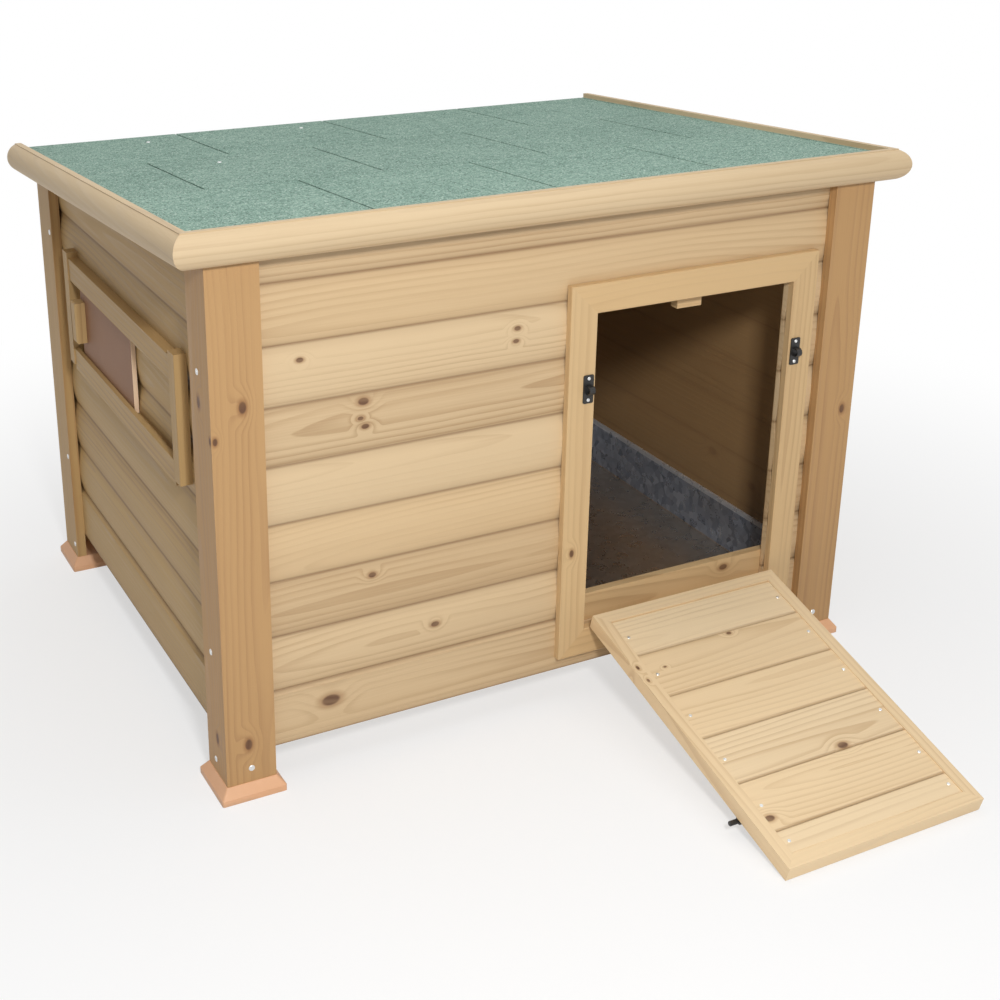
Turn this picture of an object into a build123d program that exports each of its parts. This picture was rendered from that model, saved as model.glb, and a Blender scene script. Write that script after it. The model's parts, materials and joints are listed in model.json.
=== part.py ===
from build123d import *
import os
from math import asin, atan2, ceil, cos, degrees, hypot, radians, sin

os.makedirs("parts", exist_ok=True)

# Duck house of pressure-treated pine: a box on four legs, a pent lid hinged at the rear,
# a door that folds down as a ramp, a sliding vent shutter and a steel tray that pulls out.
# Millimetres. +X right along the front, +Y to the rear, +Z up, floor at z = 0.

# House box and corner posts
house_width = 940.0
house_depth = 756.0
post_face_width = 64.0
rear_face_width = 44.0
post_side_width = 52.0
post_thickness = 14.0
foot_height = 20.0
foot_margin = 10.0
foot_band = 8.0
foot_floor = 4.0
foot_bevel = 9.0
corner_batten = 20.0

# Loglap cladding
board_pitch = 74.5
board_thickness = 10.0
board_bulge = 5.0
tongue_height = 4.0
tongue_thickness = 2.4
tongue_inset = 1.2
tongue_clearance = 0.25
wall_bottom = 51.5
side_wall_lift = 7.0

# Roof lid
roof_slope = 3.8
roof_front_height = 700.0
roof_gap = 0.3
overhang_front = 24.0
overhang_side = 40.0
overhang_back = 1.0
deck_thickness = 12.0
underlay_thickness = 2.0
shingle_thickness = 3.0
tab_width = 245.0
tab_shift = -7.0
course_depth = 250.0
slit_width = 3.0
course_gap = 1.2
trim_thickness = 22.0
trim_height = 41.0
trim_drop = 17.0
trim_flat = 9.0
trim_quirk = 1.4
trim_foot = 6.0
roof_batten_width = 34.0
roof_batten_height = 18.0
roof_batten_inset = 60.0
top_rail_height = 45.0
leaf_recess = 2.0

# Doorway, its mitred frame and its stops
door_post_gap = 17.0
door_width = 309.0
door_bottom = 110.0
door_top = 556.0
frame_width = 39.0
frame_thickness = 11.0
sill_height = 150.0
sill_thickness = 12.0
sill_lap = 21.0
stop_width = 38.0
stop_height = 46.0
stop_show = 19.0
stop_thickness = 14.0

# Ramp door
ramp_thickness = 20.0
ramp_side_gap = 5.0
ramp_end_gap = 3.0
ramp_batten = 18.0
plank_thickness = 9.0
plank_sink = 1.5
plank_pitch = 76.0
plank_first = 34.0
plank_bevel = 1.5
plank_joint = 0.6

# Butt hinges
hinge_radius = 3.5
hinge_pin_radius = 1.7
hinge_leaf = 22.0
hinge_leaf_thickness = 1.4
hinge_length = 50.0
hinge_play = 0.35
hinge_running = 0.05
ramp_hinge_inset = 62.0
roof_hinge_spacing = 520.0

# Barrel bolts and their keepers
bolt_radius = 3.2
bolt_height = 6.0
bolt_from_tip = 96.0
bolt_tip_reach = 10.0
bolt_length = 78.0
bolt_knob_radius = 2.6
bolt_knob_height = 9.0
bolt_base_length = 60.0
bolt_base_width = 24.0
bolt_base_inset = 4.0
guide_width = 7.0
guide_wall = 1.6
guide_play = 0.4
keeper_play = 1.1
keeper_width = 15.0
keeper_height = 38.0
keeper_offset = 3.0
keeper_loop_width = 8.0
plate_thickness = 1.5

# Vent and its sliding shutter in the left wall
vent_from_stop = 55.0
vent_length = 150.0
vent_bottom = 409.0
vent_height = 90.0
shutter_from_stop = 25.0
shutter_length = 245.0
shutter_bottom = 400.0
shutter_open_height = 104.0
shutter_thickness = 6.0
shutter_clearance = 0.8
rail_height = 32.0
rail_thickness = 14.0
rail_groove = 8.0
rail_length = 460.0
vent_forward = 8.0
vent_stop_width = 22.0
vent_stop_thickness = 16.0
vent_stop_above = 8.0
handle_width = 22.0
handle_height = 60.0
handle_depth = 15.0
handle_inset = 0.0

# Steel tray, its runners and its wooden front
runner_top = 62.0
runner_height = 10.0
runner_width = 30.0
runner_spread = 400.0
floor_rail_width = 22.0
rear_rail_inset = 28.0
tray_half_width = 422.0
tray_height = 78.0
tray_sheet = 1.0
tray_rim = 5.0
tray_rim_height = 7.0
tray_front_gap = 9.0
tray_lift = 0.35
drawer_half_width = 423.0
drawer_bottom = 54.0
drawer_top = 150.0
drawer_thickness = 10.0
drawer_gap = 3.0
pull_width = 120.0
pull_height = 22.0
pull_depth = 18.0

# Screws and nails
screw_radius = 4.0
screw_rise = 0.9
small_screw_radius = 2.3
small_screw_rise = 0.7
nail_radius = 3.0
post_screw_heights = (39.0, 190.0, 550.0)
post_screw_inset = 38.0
rear_screw_inset = 56.0
plank_screw_inset = 8.0
leaf_screw_reach = 13.0
leaf_screw_spacing = 32.0
keeper_screw_spacing = 29.0
base_screw_length = 34.0
base_screw_width = 17.4
felt_nails_at = ((0, -307.0, 62.0), (0, -60.0, 59.0), (1, -281.0, 54.0))

# Places that follow from the sizes
half = house_width / 2
ramp_width = door_width - 2 * ramp_side_gap
rail_front = (house_depth - rail_length) / 2 - vent_forward
rail_back = rail_front + rail_length
vent_start = rail_back - vent_from_stop - vent_length
shutter_start = rail_back - shutter_from_stop - shutter_length
ramp_length = door_top - door_bottom - 2 * ramp_end_gap
pivot_rise = ramp_end_gap / 2
pivot_z = door_bottom + ramp_end_gap - pivot_rise
hinge_offset = hinge_radius + hinge_play
tip_distance = pivot_rise + ramp_length
tip_radius = hypot(hinge_offset, tip_distance)
ramp_angle = asin(pivot_z / tip_radius) + atan2(hinge_offset, tip_distance)
frame_recess = post_thickness - frame_thickness
pivot_depth = frame_recess - hinge_offset
tip_lift = (hinge_offset + ramp_thickness) * sin(ramp_angle)
ramp_reach = tip_distance * cos(ramp_angle) + tip_lift - pivot_depth
rear_reach = max(hinge_offset + hinge_radius, pull_depth - post_thickness, overhang_back, foot_margin)

# The house stands so that the whole object, ramp down, is centred on the origin.
front = (ramp_reach - house_depth - rear_reach) / 2
back = front + house_depth
slope = radians(roof_slope)
door_right = half - post_face_width - door_post_gap - frame_width
door_left = door_right - door_width
crest_front = front + post_thickness
inner_front = crest_front + board_thickness
crest_back = back - post_thickness
inner_back = crest_back - board_thickness
crest_side = half - post_thickness
inner_side = crest_side - board_thickness
frame_face = front + frame_recess
roof_plane = Plane(origin=(0, front, roof_front_height), x_dir=(1, 0, 0), z_dir=(0, sin(slope), cos(slope)))
wall_cut = roof_plane.offset(-roof_gap)
rear_cut = roof_plane.offset(-leaf_recess)


def roof_under(y):
    """Height of the deck's underside at a distance along the depth."""
    return roof_front_height - (y - front) * sin(slope) / cos(slope)


def front_view(y):
    """A plane facing the front: local x is X and local y is Z."""
    return Plane(origin=(0, y, 0), x_dir=(1, 0, 0), z_dir=(0, -1, 0))


def save(shape, name):
    """Names a finished piece and writes it."""
    shape.label = name
    export_step(shape, f"parts/{name}.step")


def save_group(shapes, name):
    """Writes separate solids that share one node."""
    save(Compound(children=[s for shape in shapes for s in shape.solids()]), name)


# Cladding: each board is a rounded log profile with a tongue on top and a groove below.
# The bottom board of every wall is flat. Boards are cut round the doorway, vent and drawer,
# and along the roof's slope.
def board(plane, length, flat, cutters, top):
    low = tongue_inset
    high = tongue_inset + tongue_thickness
    edge = board_thickness if flat else board_thickness - board_bulge
    groove = tongue_height + tongue_clearance
    with BuildPart() as made:
        with BuildSketch(plane):
            with BuildLine():
                Polyline(
                    (edge, 0),
                    (high + tongue_clearance, 0),
                    (high + tongue_clearance, groove),
                    (low - tongue_clearance, groove),
                    (low - tongue_clearance, 0),
                    (0, 0),
                    (0, board_pitch),
                    (low, board_pitch),
                    (low, board_pitch + tongue_height),
                    (high, board_pitch + tongue_height),
                    (high, board_pitch),
                    (board_thickness - board_bulge, board_pitch),
                )
                if flat:
                    knee = board_pitch - board_bulge
                    Line((edge, 0), (edge, knee))
                    Line((edge, knee), (board_thickness - board_bulge, board_pitch))
                else:
                    ThreePointArc((edge, 0), (board_thickness, board_pitch / 2), (edge, board_pitch))
            make_face()
        extrude(amount=length / 2, both=True)
        for cutter in cutters:
            add(cutter, mode=Mode.SUBTRACT)
        split(bisect_by=top, keep=Keep.BOTTOM)
    return made.part


def cladding(name, centre, outward, along, length, lift, cutters, top, height):
    base = wall_bottom + lift
    boards = []
    for row in range(ceil((height - base) / board_pitch)):
        origin = (centre[0], centre[1], base + row * board_pitch)
        plane = Plane(origin=origin, x_dir=outward, z_dir=along)
        boards.append(board(plane, length, row == 0, cutters, top))
    save_group(boards, name)


mid_y = (front + back) / 2
front_length = 2 * crest_side
side_length = inner_back - inner_front

with BuildPart() as doorway:
    with BuildSketch(front_view(inner_front + board_thickness)):
        with Locations((door_left, door_bottom)):
            Rectangle(door_width, door_top - door_bottom, align=(Align.MIN, Align.MIN))
    extrude(amount=4 * board_thickness)

with BuildPart() as vent_hole:
    with Locations((-inner_side, front + vent_start, vent_bottom)):
        Box(4 * board_thickness, vent_length, vent_height, align=(Align.CENTER, Align.MIN, Align.MIN))

drawer_slot_half = drawer_half_width + drawer_gap / 2
with BuildPart() as drawer_slot:
    with Locations((0, inner_back, 0)):
        Box(
            2 * drawer_slot_half,
            4 * board_thickness,
            drawer_top + drawer_gap,
            align=(Align.CENTER, Align.CENTER, Align.MIN),
        )

front_centre = (0, inner_front)
cladding("front_cladding", front_centre, (0, -1, 0), (-1, 0, 0), front_length, 0,
         [doorway.part], wall_cut, roof_under(inner_front) - roof_gap)
cladding("back_cladding", (0, inner_back), (0, 1, 0), (1, 0, 0), front_length, side_wall_lift,
         [drawer_slot.part], rear_cut, roof_under(crest_back) - leaf_recess)
cladding("left_cladding", (-inner_side, mid_y), (-1, 0, 0), (0, 1, 0), side_length, side_wall_lift,
         [vent_hole.part], wall_cut, roof_under(inner_front))
cladding("right_cladding", (inner_side, mid_y), (1, 0, 0), (0, -1, 0), side_length, side_wall_lift,
         [], wall_cut, roof_under(inner_front))


# Corner posts: a face board over the edge of a side board, standing in a bevelled foot cap.
# A square batten inside each corner takes the nails of both walls.
def slab(x_near, x_far, y_near, y_far, z_low, z_high, top=None):
    """A board between two corners, cut by the roof where it reaches it."""
    with BuildPart() as made:
        with Locations(((x_near + x_far) / 2, (y_near + y_far) / 2, (z_low + z_high) / 2)):
            Box(abs(x_far - x_near), abs(y_far - y_near), z_high - z_low)
        if top is not None:
            split(bisect_by=top, keep=Keep.BOTTOM)
    return made.part


post_top = roof_front_height + house_depth * sin(slope)
corner_battens = []
for end, face, inward, face_width in (("front", front, 1, post_face_width), ("back", back, -1, rear_face_width)):
    for side, sign in (("left", -1), ("right", 1)):
        outer = sign * half
        face_board = slab(outer, outer - sign * face_width, face, face + inward * post_thickness,
                          foot_floor, post_top, wall_cut)
        side_board = slab(outer, outer - sign * post_thickness, face + inward * post_thickness,
                          face + inward * (post_thickness + post_side_width), foot_floor, post_top, wall_cut)
        save_group([face_board, side_board], f"post_{end}_{side}")

        inner_face = face + inward * (post_thickness + board_thickness)
        batten_bottom = wall_bottom + side_wall_lift
        corner_battens.append(
            slab(sign * inner_side, sign * (inner_side - corner_batten), inner_face,
                 inner_face + inward * corner_batten, batten_bottom, post_top, rear_cut)
        )

        cap_x = post_face_width + 2 * foot_margin
        cap_y = post_thickness + post_side_width + 2 * foot_margin
        centre_x = outer - sign * post_face_width / 2
        centre_y = face + inward * (post_thickness + post_side_width) / 2
        with BuildPart() as foot:
            with BuildSketch(Plane.XY):
                with Locations((centre_x, centre_y)):
                    RectangleRounded(cap_x, cap_y, foot_margin / 4)
            extrude(amount=foot_band)
            with BuildSketch(Plane.XY.offset(foot_band)):
                with Locations((centre_x, centre_y)):
                    RectangleRounded(cap_x, cap_y, foot_margin / 4)
            with BuildSketch(Plane.XY.offset(foot_height)):
                with Locations((centre_x, centre_y)):
                    RectangleRounded(cap_x - 2 * foot_bevel, cap_y - 2 * foot_bevel, foot_margin / 4)
            loft()
            add(face_board, mode=Mode.SUBTRACT)
            add(side_board, mode=Mode.SUBTRACT)
        save(foot.part, f"foot_cap_{end}_{side}")
save_group(corner_battens, "corner_battens")


# Door frame: four mitred boards nailed over the crests of the cladding.
frame_out_left = door_left - frame_width
frame_out_right = door_right + frame_width
frame_out_bottom = door_bottom - frame_width
frame_out_top = door_top + frame_width
outer_corners = [
    (frame_out_left, frame_out_bottom),
    (frame_out_right, frame_out_bottom),
    (frame_out_right, frame_out_top),
    (frame_out_left, frame_out_top),
]
inner_corners = [(door_left, door_bottom), (door_right, door_bottom), (door_right, door_top), (door_left, door_top)]
for index, name in enumerate(("frame_bottom_rail", "frame_right_stile", "frame_top_rail", "frame_left_stile")):
    after = (index + 1) % 4
    with BuildPart() as frame_board:
        with BuildSketch(front_view(crest_front)):
            Polygon(outer_corners[index], outer_corners[after], inner_corners[after], inner_corners[index],
                    align=None)
        extrude(amount=frame_thickness)
        outer_edges = frame_board.edges().filter_by(lambda e: e.center().Y < frame_face + 0.01)
        chamfer(outer_edges.sort_by(Edge.length)[-2:], length=1.0)
    save(frame_board.part, name)

sill = slab(door_left - sill_lap, door_right + sill_lap, inner_front, inner_front + sill_thickness,
            runner_top, sill_height)
save(sill, "door_sill_board")

door_middle = (door_left + door_right) / 2
stop_low = door_top - stop_show
stop_block = slab(door_middle - stop_width / 2, door_middle + stop_width / 2, inner_front,
                  inner_front + stop_thickness, stop_low, stop_low + stop_height)
save(stop_block, "door_stop_block")


# Butt hinge: two leaves whose knuckles interlock round a pin along X.
# Each leaf is drawn with local x along the leaf and local y towards its wood.
knuckle = (hinge_length - 2 * hinge_play) / 3


def hinge_leaf_part(centre, along_leaf, towards_axis, own, bore):
    plane = Plane(origin=centre, x_dir=along_leaf, z_dir=towards_axis)
    step = knuckle + hinge_play
    clear = hinge_radius + hinge_play
    with BuildPart() as leaf:
        with BuildSketch(plane):
            with Locations((clear, hinge_offset - hinge_leaf_thickness)):
                Rectangle(hinge_leaf - clear, hinge_leaf_thickness, align=(Align.MIN, Align.MIN))
        extrude(amount=hinge_length / 2, both=True)
        for place in own:
            with BuildSketch(plane.offset(place * step - knuckle / 2)):
                Circle(hinge_radius)
                with Locations((0, hinge_offset - hinge_leaf_thickness)):
                    Rectangle(clear, hinge_leaf_thickness, align=(Align.MIN, Align.MIN))
                Circle(bore, mode=Mode.SUBTRACT)
            extrude(amount=knuckle)
    return leaf.part


def hinge_pin(centre):
    with BuildPart() as pin:
        with BuildSketch(Plane(origin=centre, z_dir=(1, 0, 0))):
            Circle(hinge_pin_radius)
        extrude(amount=hinge_length / 2 + 1, both=True)
    return pin.part


# Roof lid: a deck with felt shingles between rounded trims, all square to the slope.
# Its local plane has x along X and y down the slope, with the front posts' face at y = 0.
deck_front = -(overhang_front - trim_thickness)
deck_back = (house_depth + overhang_back) / cos(slope)
deck_half = half + overhang_side - trim_thickness
deck_length = deck_back - deck_front


def sheet(low, thickness, x_size, y_near, y_far):
    with BuildPart() as made:
        with BuildSketch(roof_plane.offset(low)):
            with Locations((0, (y_near + y_far) / 2)):
                Rectangle(x_size, y_far - y_near)
        extrude(amount=thickness)
    return made.part


save(sheet(0, deck_thickness, 2 * deck_half, deck_front, deck_back), "roof_deck")
save(sheet(deck_thickness, underlay_thickness, 2 * deck_half, deck_front, deck_back), "felt_underlay")

shingle_low = deck_thickness + underlay_thickness
course_names = ("shingle_course_rear", "shingle_course_middle", "shingle_course_front")
for index, name in enumerate(course_names):
    far = deck_back - index * course_depth
    near = far - course_depth + course_gap if index < len(course_names) - 1 else deck_front
    shift = tab_shift + (tab_width / 2 if index % 2 else 0)
    reach = int(deck_half / tab_width) + 1
    places = [shift + k * tab_width for k in range(-reach, reach + 1)]
    with BuildPart() as course:
        with BuildSketch(roof_plane.offset(shingle_low)):
            with Locations((0, (near + far) / 2)):
                Rectangle(2 * deck_half, far - near)
            slits = [(x, far) for x in places if abs(x) < deck_half - slit_width]
            with Locations(*slits):
                Rectangle(slit_width, min(far - near, course_depth) - 2 * slit_width,
                          align=(Align.CENTER, Align.MAX), mode=Mode.SUBTRACT)
        extrude(amount=shingle_thickness)
    save(course.part, name)


# Trim: flat back and top, a small quirk, then a full round down to a narrow foot.
def trim_profile(plane):
    """Local x outward from the deck's edge and local y up, square to the slope."""
    low = -trim_drop
    high = low + trim_height
    with BuildSketch(plane) as profile:
        with BuildLine():
            Polyline(
                (trim_flat, high - trim_quirk),
                (trim_flat, high),
                (0, high),
                (0, low),
                (trim_foot, low),
            )
            ThreePointArc(
                (trim_foot, low),
                (trim_thickness, (low + high - trim_quirk) / 2),
                (trim_flat, high - trim_quirk),
            )
        make_face()
    return profile.sketch


def roof_point(x, y, z):
    return roof_plane.from_local_coords((x, y, z))


down_slope = roof_plane.y_dir
mitre_left = Plane(origin=roof_point(-deck_half, deck_front, 0), z_dir=roof_plane.x_dir - down_slope)
mitre_right = Plane(origin=roof_point(deck_half, deck_front, 0), z_dir=-roof_plane.x_dir - down_slope)

front_section = Plane(origin=roof_point(0, deck_front, 0), x_dir=-down_slope, z_dir=(-1, 0, 0))
with BuildPart() as trim_front:
    extrude(trim_profile(front_section), amount=deck_half + trim_thickness, both=True)
    split(bisect_by=mitre_left, keep=Keep.TOP)
    split(bisect_by=mitre_right, keep=Keep.TOP)
save(trim_front.part, "roof_trim_front")

for side, sign, mitre in (("left", -1, mitre_left), ("right", 1, mitre_right)):
    side_section = Plane(origin=roof_point(sign * deck_half, deck_back, 0), x_dir=(sign, 0, 0),
                         z_dir=-sign * down_slope)
    with BuildPart() as trim_side:
        extrude(trim_profile(side_section), amount=sign * (deck_length + trim_thickness))
        split(bisect_by=mitre, keep=Keep.BOTTOM)
    save(trim_side.part, f"roof_trim_{side}")

batten_half = inner_side - corner_batten - 10
batten_places = (roof_batten_inset, house_depth - roof_batten_inset - roof_batten_width)
roof_battens = [
    sheet(-roof_batten_height, roof_batten_height, 2 * batten_half, place, place + roof_batten_width)
    for place in batten_places
]
save_group(roof_battens, "roof_battens")

# Rail outside the top of the back wall, for the lid's hinges
rail_top = roof_plane.offset(-leaf_recess)
back_rail = slab(-(half - rear_face_width), half - rear_face_width, crest_back, back,
                 roof_under(back) - leaf_recess - top_rail_height, roof_front_height, rail_top)
save(back_rail, "back_top_rail")

roof_pivot_y = back + hinge_offset
roof_pivot_z = roof_under(roof_pivot_y) - hinge_offset / cos(slope)
lid_leaves = []
wall_leaves = []
lid_pins = []
for x in (-roof_hinge_spacing / 2, roof_hinge_spacing / 2):
    centre = (x, roof_pivot_y, roof_pivot_z)
    lid_leaves.append(hinge_leaf_part(centre, -down_slope, (-1, 0, 0), (0,), hinge_pin_radius + hinge_running))
    wall_leaves.append(hinge_leaf_part(centre, (0, 0, -1), (-1, 0, 0), (-1, 1), hinge_pin_radius))
    lid_pins.append(hinge_pin(centre))
save_group(lid_leaves, "roof_hinge_lid_leaves")
save_group(wall_leaves, "roof_hinge_wall_leaves")
save_group(lid_pins, "roof_hinge_pins")


# Ramp door, drawn open. Its local plane starts at the hinge axis, with x along X, y down the ramp
# and z out through the face that is outside when the door is shut.
pivot_y = front + pivot_depth
ramp_plane = Plane(
    origin=(0, pivot_y, pivot_z),
    x_dir=(1, 0, 0),
    z_dir=(0, sin(ramp_angle), -cos(ramp_angle)),
)
outer_face = -hinge_offset
inner_face = outer_face - ramp_thickness
ramp_left = door_left + ramp_side_gap
ramp_right = door_right - ramp_side_gap
ramp_near = pivot_rise
ramp_far = pivot_rise + ramp_length
ramp_outside = [(ramp_left, ramp_near), (ramp_right, ramp_near), (ramp_right, ramp_far), (ramp_left, ramp_far)]
ramp_inside = [
    (ramp_left + ramp_batten, ramp_near + ramp_batten),
    (ramp_right - ramp_batten, ramp_near + ramp_batten),
    (ramp_right - ramp_batten, ramp_far - ramp_batten),
    (ramp_left + ramp_batten, ramp_far - ramp_batten),
]
for index, name in enumerate(("ramp_hinge_batten", "ramp_right_batten", "ramp_tip_batten", "ramp_left_batten")):
    after = (index + 1) % 4
    with BuildPart() as ramp_side:
        with BuildSketch(ramp_plane.offset(inner_face)):
            Polygon(ramp_outside[index], ramp_outside[after], ramp_inside[after], ramp_inside[index], align=None)
        extrude(amount=ramp_thickness)
    save(ramp_side.part, name)

plank_near = ramp_near + ramp_batten
plank_far = ramp_far - ramp_batten
plank_edges = [plank_far]
place = plank_far - plank_first
while place > plank_near + plank_bevel * 4:
    plank_edges.append(place)
    place -= plank_pitch
plank_edges.append(plank_near)
planks = []
for far, near in zip(plank_edges, plank_edges[1:]):
    with BuildPart() as plank:
        with BuildSketch(ramp_plane.offset(inner_face + plank_sink)):
            with Locations(((ramp_left + ramp_right) / 2, (near + far) / 2)):
                Rectangle(ramp_width - 2 * ramp_batten, far - near - plank_joint)
        extrude(amount=plank_thickness)
        top_edges = plank.faces().sort_by(Axis(ramp_plane.origin, ramp_plane.z_dir))[0].edges()
        chamfer(top_edges.filter_by(Axis.X), length=plank_bevel)
    planks.append(plank.part)
save_group(planks, "ramp_planks")

ramp_middle = (ramp_left + ramp_right) / 2
ramp_hinge_places = (ramp_left + ramp_hinge_inset, ramp_right - ramp_hinge_inset)
door_leaves = []
frame_leaves = []
ramp_pins = []
for x in ramp_hinge_places:
    centre = (x, pivot_y, pivot_z)
    door_leaves.append(hinge_leaf_part(centre, ramp_plane.y_dir, (-1, 0, 0), (0,),
                                       hinge_pin_radius + hinge_running))
    frame_leaves.append(hinge_leaf_part(centre, (0, 0, -1), (1, 0, 0), (-1, 1), hinge_pin_radius))
    ramp_pins.append(hinge_pin(centre))
save_group(door_leaves, "ramp_hinge_door_leaves")
save_group(frame_leaves, "ramp_hinge_frame_leaves")
save_group(ramp_pins, "ramp_hinge_pins")


# Barrel bolts under the ramp, one each side. A strap bent over the rod is the guide,
# and a taller one on each stile is the keeper that the rod is shot into.
def strap(plane, inner, height, width):
    """Local x across the rod, local y away from the wood, rod axis at local (0, height)."""
    outer = inner + guide_wall
    with BuildSketch(plane) as bend:
        with Locations((0, height / 2)):
            Rectangle(2 * outer, height)
        with Locations((0, height)):
            Circle(outer)
        with Locations((0, height / 2)):
            Rectangle(2 * inner, height, mode=Mode.SUBTRACT)
        with Locations((0, height)):
            Circle(inner, mode=Mode.SUBTRACT)
    return extrude(bend.sketch, amount=width)


bolt_y = ramp_far - bolt_from_tip
for side, sign, edge in (("left", -1, ramp_left), ("right", 1, ramp_right)):
    base_edge = edge - sign * bolt_base_inset
    base_middle = base_edge - sign * bolt_base_length / 2
    guide_inner = bolt_radius + guide_play
    with BuildPart() as bolt_base:
        with BuildSketch(ramp_plane.offset(outer_face)):
            with Locations((base_middle, bolt_y)):
                RectangleRounded(bolt_base_length, bolt_base_width, 2)
        extrude(amount=plate_thickness)
        for place in (base_edge, base_edge - sign * (bolt_base_length - guide_width)):
            start = ramp_plane.from_local_coords((place, bolt_y, outer_face))
            guide_plane = Plane(origin=start, x_dir=-sign * ramp_plane.y_dir, z_dir=(-sign, 0, 0))
            add(strap(guide_plane, guide_inner, bolt_height, guide_width))
    save(bolt_base.part, f"bolt_base_{side}")

    rod_start = ramp_plane.from_local_coords((edge + sign * bolt_tip_reach, bolt_y, outer_face + bolt_height))
    knob_x = base_middle
    knob_start = outer_face + bolt_height
    with BuildPart() as rod:
        with BuildSketch(Plane(origin=rod_start, z_dir=(-sign, 0, 0))):
            Circle(bolt_radius)
        extrude(amount=bolt_length)
        chamfer(rod.edges().filter_by(GeomType.CIRCLE), length=bolt_radius / 4)
        with BuildSketch(ramp_plane.offset(knob_start)):
            with Locations((knob_x, bolt_y)):
                Circle(bolt_knob_radius)
        extrude(amount=bolt_knob_height)
    save(rod.part, f"bolt_rod_{side}")

    stile_edge = door_left if side == "left" else door_right
    plate_middle = stile_edge + sign * (keeper_offset + keeper_width / 2)
    keeper_z = pivot_z + bolt_y
    loop_start = plate_middle - sign * keeper_loop_width / 2
    with BuildPart() as keeper:
        with BuildSketch(front_view(frame_face)):
            with Locations((plate_middle, keeper_z)):
                RectangleRounded(keeper_width, keeper_height, 2)
        extrude(amount=plate_thickness)
        loop_plane = Plane(origin=(loop_start, frame_face, keeper_z), x_dir=(0, 0, sign), z_dir=(sign, 0, 0))
        add(strap(loop_plane, bolt_radius + keeper_play, bolt_height, keeper_loop_width))
    save(keeper.part, f"bolt_keeper_{side}")


# Vent shutter: a thin panel that slides between two rebated rails, with a stop at each end.
rail_outer = -crest_side - rail_thickness
groove_outer = -crest_side - 2 * shutter_clearance - shutter_thickness
shutter_top = shutter_bottom + shutter_open_height
for name, low, groove_low in (
    ("vent_rail_bottom", shutter_bottom - rail_height, shutter_bottom - rail_groove),
    ("vent_rail_top", shutter_top, shutter_top),
):
    with BuildPart() as rail:
        with Locations(((rail_outer - crest_side) / 2, front + rail_front, low)):
            Box(rail_thickness, rail_back - rail_front, rail_height, align=(Align.CENTER, Align.MIN, Align.MIN))
        with Locations(((groove_outer - crest_side) / 2, front + rail_front, groove_low)):
            Box(-crest_side - groove_outer, rail_back - rail_front, rail_groove,
                align=(Align.CENTER, Align.MIN, Align.MIN), mode=Mode.SUBTRACT)
    save(rail.part, name)

stop_bottom = shutter_bottom - rail_height + vent_stop_above
stop_top = shutter_top + rail_height + vent_stop_above
vent_stops = [
    slab(-crest_side, -crest_side - vent_stop_thickness, front + near, front + near + vent_stop_width,
         stop_bottom, stop_top)
    for near in (rail_front - vent_stop_width, rail_back)
]
save_group(vent_stops, "vent_stops")

shutter_outer = -crest_side - shutter_clearance - shutter_thickness
groove_fill = rail_groove - 2 * shutter_clearance
with BuildPart() as shutter:
    with Locations(((shutter_outer - crest_side - shutter_clearance) / 2, front + shutter_start,
                    shutter_bottom - groove_fill)):
        Box(shutter_thickness, shutter_length, shutter_open_height + 2 * groove_fill,
            align=(Align.CENTER, Align.MIN, Align.MIN))
save(shutter.part, "shutter_panel")

handle_near = front + shutter_start + shutter_length - handle_inset - handle_width
handle_low = shutter_bottom + (shutter_open_height - handle_height) / 2
with BuildPart() as shutter_handle:
    with Locations((shutter_outer, handle_near, handle_low)):
        Box(handle_depth, handle_width, handle_height, align=(Align.MAX, Align.MIN, Align.MIN))
    fillet(shutter_handle.edges().group_by(Axis.X)[0], radius=3)
save(shutter_handle.part, "shutter_handle")


# Tray: folded galvanised sheet with a rolled rim, carried on three runners between two rails.
# Its wooden front closes the slot at the foot of the back wall.
runner_low = runner_top - runner_height
rear_rail_back = inner_back - rear_rail_inset
floor_rails = [
    slab(-(inner_side - corner_batten), inner_side - corner_batten, inner_front,
         inner_front + floor_rail_width, runner_low, runner_top),
    slab(-inner_side, inner_side, rear_rail_back - floor_rail_width, rear_rail_back, runner_low, runner_top),
]
save_group(floor_rails, "floor_rails")
runners = [
    slab(x - runner_width / 2, x + runner_width / 2, inner_front + floor_rail_width,
         rear_rail_back - floor_rail_width, runner_low, runner_top)
    for x in (-runner_spread, 0, runner_spread)
]
save_group(runners, "tray_runners")

drawer_inner = crest_back - drawer_thickness
tray_low = runner_top + tray_lift
tray_near = inner_front + sill_thickness + tray_front_gap + tray_rim
tray_far = drawer_inner - tray_rim
tray_half = tray_half_width - tray_rim
tray_middle = (tray_near + tray_far) / 2
tray_length = tray_far - tray_near
with BuildPart() as tray:
    with BuildSketch(Plane.XY.offset(tray_low)):
        with Locations((0, tray_middle)):
            Rectangle(2 * tray_half, tray_length)
    extrude(amount=tray_height)
    offset(amount=-tray_sheet, openings=tray.faces().sort_by(Axis.Z)[-1])
    with BuildSketch(Plane.XY.offset(tray_low + tray_height - tray_rim_height)):
        with Locations((0, tray_middle)):
            Rectangle(2 * (tray_half + tray_rim), tray_length + 2 * tray_rim)
            Rectangle(2 * (tray_half - tray_sheet), tray_length - 2 * tray_sheet, mode=Mode.SUBTRACT)
    extrude(amount=tray_rim_height)
    rim_edges = [
        e
        for e in tray.edges().filter_by(Plane.XY)
        if abs(abs(e.center().X) - tray_half - tray_rim) < 0.01
        or abs(abs(e.center().Y - tray_middle) - tray_length / 2 - tray_rim) < 0.01
    ]
    fillet(rim_edges, radius=tray_rim_height / 2 - 0.3)
save(tray.part, "steel_tray")

drawer_front = slab(-drawer_half_width, drawer_half_width, drawer_inner, crest_back, drawer_bottom, drawer_top)
save(drawer_front, "drawer_front")

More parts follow.
